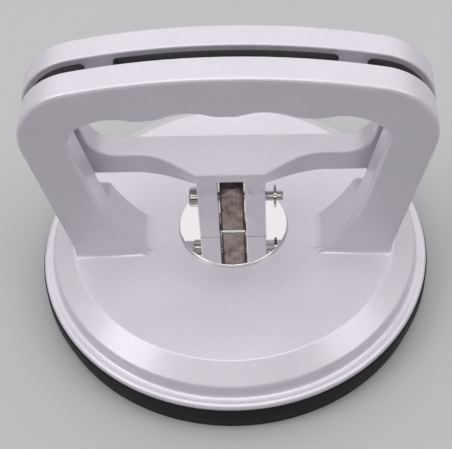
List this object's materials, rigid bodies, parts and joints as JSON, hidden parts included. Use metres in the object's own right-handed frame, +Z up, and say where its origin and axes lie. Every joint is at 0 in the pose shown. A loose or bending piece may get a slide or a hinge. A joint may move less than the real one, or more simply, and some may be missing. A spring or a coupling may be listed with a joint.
{
  "type": "glass suction cup",
  "caption": "Hand suction lifter for glass: a cast disc with a fixed handle, a ring lever on a cam foot and a rubber pad that the lever draws up to hold.",
  "frame": {"origin": "on the glass, under the middle of the rubber pad", "axes": "+Z up from the glass, +X across the handle, +Y from the fixed handle towards the lever"},
  "size_m": [0.1188, 0.1188, 0.0937],
  "materials": {
    "silver_casting": "die casting sprayed satin silver",
    "polished_washer": "mirror polished",
    "bright_steel": "plated and rubbed bright",
    "black_rubber": "moulded satin"
  },
  "bodies": {
    "body": {"body_casting": "silver_casting", "wear_washer": "polished_washer", "rubber_pad": "black_rubber", "return_spring": "bright_steel"},
    "lifter": {"draw_stud": "bright_steel", "backing_plate": "bright_steel", "hinge_pin": "bright_steel", "retaining_clip": "bright_steel"},
    "lever": {"lever_casting": "silver_casting"}
  },
  "joints": [
    {"name": "pad_lift", "type": "slide", "parent": "body", "child": "lifter", "axis": [0, 0, 1], "range_m": [-0.004, 0], "deforming": ["rubber_pad", "return_spring"]},
    {"name": "lever_swing", "type": "hinge", "parent": "lifter", "child": "lever", "pos_m": [0, 0, 0.0346], "axis": [-1, 0, 0], "range_deg": [0, 80]}
  ],
  "couplings": [
    {"joint": "pad_lift", "follows": "lever_swing", "m_per_rad": -0.0028647}
  ]
}
